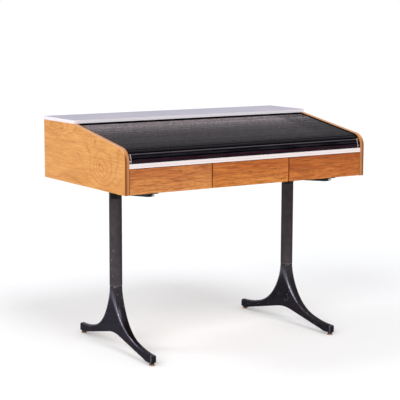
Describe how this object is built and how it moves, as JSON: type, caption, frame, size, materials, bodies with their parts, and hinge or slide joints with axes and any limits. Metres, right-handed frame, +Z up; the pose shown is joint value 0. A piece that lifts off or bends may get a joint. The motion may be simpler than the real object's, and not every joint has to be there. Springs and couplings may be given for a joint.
{
  "type": "tambour desk",
  "caption": "Writing desk with a sliding tambour over the writing board, three drawers side by side and two cast T-shaped legs.",
  "frame": {"origin": "on the floor under the middle of the desk's box", "axes": "+X to the desk's right as seen by the sitter's view from the front, +Y to the back, +Z up"},
  "size_m": [1.067, 0.61, 0.858],
  "materials": {
    "panel_veneer": "satin honey veneer",
    "edge_veneer": "satin veneer banding",
    "board_core": "bare board",
    "shelf_laminate": "pale grey laminate",
    "white_band": "white edge band",
    "white_laminate": "white laminate",
    "divider_wood": "satin",
    "hard_wood": "waxed",
    "black_casting": "black satin enamel",
    "black_tube": "black satin enamel",
    "steel": "plain",
    "dark_steel": "blackened",
    "rail_black": "black lacquer",
    "bright_metal": "brushed",
    "drawer_veneer": "satin figured veneer",
    "drawer_box": "bare hardwood and plywood",
    "glide_brass": "worn",
    "tambour_black": "black satin lacquer"
  },
  "bodies": {
    "case": {"side_panel_left": "panel_veneer", "side_panel_right": "panel_veneer", "panel_edge_left": "edge_veneer", "panel_edge_right": "edge_veneer", "shelf_board": "board_core", "shelf_laminate": "shelf_laminate", "shelf_edge_band": "white_band", "writing_board": "board_core", "writing_laminate": "white_laminate", "writing_edge_band": "white_band", "false_back": "panel_veneer", "back_panel": "panel_veneer", "bottom_board": "board_core", "drawer_dividers": "divider_wood", "drawer_runners": "hard_wood", "drawer_stops": "hard_wood", "upper_casting_left": "black_casting", "upper_casting_right": "black_casting", "casting_screws": "steel", "column_left": "black_tube", "column_right": "black_tube", "base_casting_left": "black_casting", "base_casting_right": "black_casting", "tie_rods": "steel", "tie_rod_nuts": "steel", "glide_nuts": "dark_steel"},
    "tambour_lead": {"lead_slat": "tambour_black", "second_slat": "tambour_black", "guide_pins": "steel"},
    "tambour_nose_upper": {"nose_slat_upper": "tambour_black"},
    "tambour_nose_lower": {"nose_slat_lower": "tambour_black"},
    "tambour_rail": {"lift_rail": "rail_black", "lift_rail_caps": "bright_metal"},
    "tambour_front_run": {"slats_front_run": "tambour_black"},
    "tambour_turn_upper": {"slats_turn_upper": "tambour_black"},
    "tambour_turn_lower": {"slats_turn_lower": "tambour_black"},
    "tambour_rear_run": {"slats_rear_run": "tambour_black"},
    "tambour_tail": {"slats_tail": "tambour_black"},
    "drawer_left": {"drawer_front_left": "drawer_veneer", "drawer_box_left": "drawer_box", "drawer_bottom_left": "drawer_box"},
    "drawer_middle": {"drawer_front_middle": "drawer_veneer", "drawer_box_middle": "drawer_box", "drawer_bottom_middle": "drawer_box"},
    "drawer_right": {"drawer_front_right": "drawer_veneer", "drawer_box_right": "drawer_box", "drawer_bottom_right": "drawer_box"},
    "glide_front_left_body": {"glide_front_left": "glide_brass"},
    "glide_rear_left_body": {"glide_rear_left": "glide_brass"},
    "glide_front_right_body": {"glide_front_right": "glide_brass"},
    "glide_rear_right_body": {"glide_rear_right": "glide_brass"}
  },
  "joints": [
    {"name": "tambour_slide", "type": "slide", "parent": "case", "child": "tambour_lead", "axis": [0, 0.9858, 0.168], "range_m": [0, 0.308]},
    {"name": "nose_upper_bend", "type": "hinge", "parent": "tambour_lead", "child": "tambour_nose_upper", "pos_m": [0, -0.26405, 0.77709], "axis": [-1, 0, 0], "range_deg": [0, 8.8]},
    {"name": "nose_lower_bend", "type": "hinge", "parent": "tambour_nose_upper", "child": "tambour_nose_lower", "pos_m": [0, -0.27448, 0.77361], "axis": [-1, 0, 0], "range_deg": [0, 17.59]},
    {"name": "lift_rail_bend", "type": "hinge", "parent": "tambour_nose_lower", "child": "tambour_rail", "pos_m": [0, -0.28338, 0.76714], "axis": [-1, 0, 0], "range_deg": [0, 35.95]},
    {"name": "front_run_bend", "type": "hinge", "parent": "tambour_lead", "child": "tambour_front_run", "pos_m": [0, -0.24236, 0.78078], "axis": [-1, 0, 0], "range_deg": [0, 9.68]},
    {"name": "turn_upper_bend", "type": "hinge", "parent": "tambour_front_run", "child": "tambour_turn_upper", "pos_m": [0, -0.05802, 0.8122], "axis": [-1, 0, 0], "range_deg": [0, 30.01]},
    {"name": "turn_lower_bend", "type": "hinge", "parent": "tambour_turn_upper", "child": "tambour_turn_lower", "pos_m": [0, -0.03633, 0.81589], "axis": [-1, 0, 0], "range_deg": [0, 30.01]},
    {"name": "rear_run_bend", "type": "hinge", "parent": "tambour_turn_lower", "child": "tambour_rear_run", "pos_m": [0, -0.01464, 0.81959], "axis": [-1, 0, 0], "range_deg": [0, 30.01]},
    {"name": "tail_bend", "type": "hinge", "parent": "tambour_rear_run", "child": "tambour_tail", "pos_m": [0, 0.06126, 0.83252], "axis": [1, 0, 0], "range_deg": [0, 9.68]},
    {"name": "drawer_left_slide", "type": "slide", "parent": "case", "child": "drawer_left", "axis": [0, -1, 0], "range_m": [0, 0.32]},
    {"name": "drawer_middle_slide", "type": "slide", "parent": "case", "child": "drawer_middle", "axis": [0, -1, 0], "range_m": [0, 0.32]},
    {"name": "drawer_right_slide", "type": "slide", "parent": "case", "child": "drawer_right", "axis": [0, -1, 0], "range_m": [0, 0.32]},
    {"name": "glide_front_left_turn", "type": "hinge", "parent": "case", "child": "glide_front_left_body", "pos_m": [-0.40804, -0.27382, 0], "axis": [0, 0, 1], "range_deg": [-180, 180]},
    {"name": "glide_rear_left_turn", "type": "hinge", "parent": "case", "child": "glide_rear_left_body", "pos_m": [-0.38796, 0.27382, 0], "axis": [0, 0, 1], "range_deg": [-180, 180]},
    {"name": "glide_front_right_turn", "type": "hinge", "parent": "case", "child": "glide_front_right_body", "pos_m": [0.40804, -0.27382, 0], "axis": [0, 0, 1], "range_deg": [-180, 180]},
    {"name": "glide_rear_right_turn", "type": "hinge", "parent": "case", "child": "glide_rear_right_body", "pos_m": [0.38796, 0.27382, 0], "axis": [0, 0, 1], "range_deg": [-180, 180]}
  ],
  "couplings": [
    {"joint": "nose_upper_bend", "follows": "tambour_slide", "rad_per_m": 0.49798},
    {"joint": "nose_lower_bend", "follows": "tambour_slide", "rad_per_m": 0.99596},
    {"joint": "lift_rail_bend", "follows": "tambour_slide", "rad_per_m": 2.0363},
    {"joint": "front_run_bend", "follows": "tambour_slide", "rad_per_m": 0.548},
    {"joint": "turn_upper_bend", "follows": "tambour_slide", "rad_per_m": 1.7},
    {"joint": "turn_lower_bend", "follows": "tambour_slide", "rad_per_m": 1.7},
    {"joint": "rear_run_bend", "follows": "tambour_slide", "rad_per_m": 1.7},
    {"joint": "tail_bend", "follows": "tambour_slide", "rad_per_m": 0.548}
  ]
}
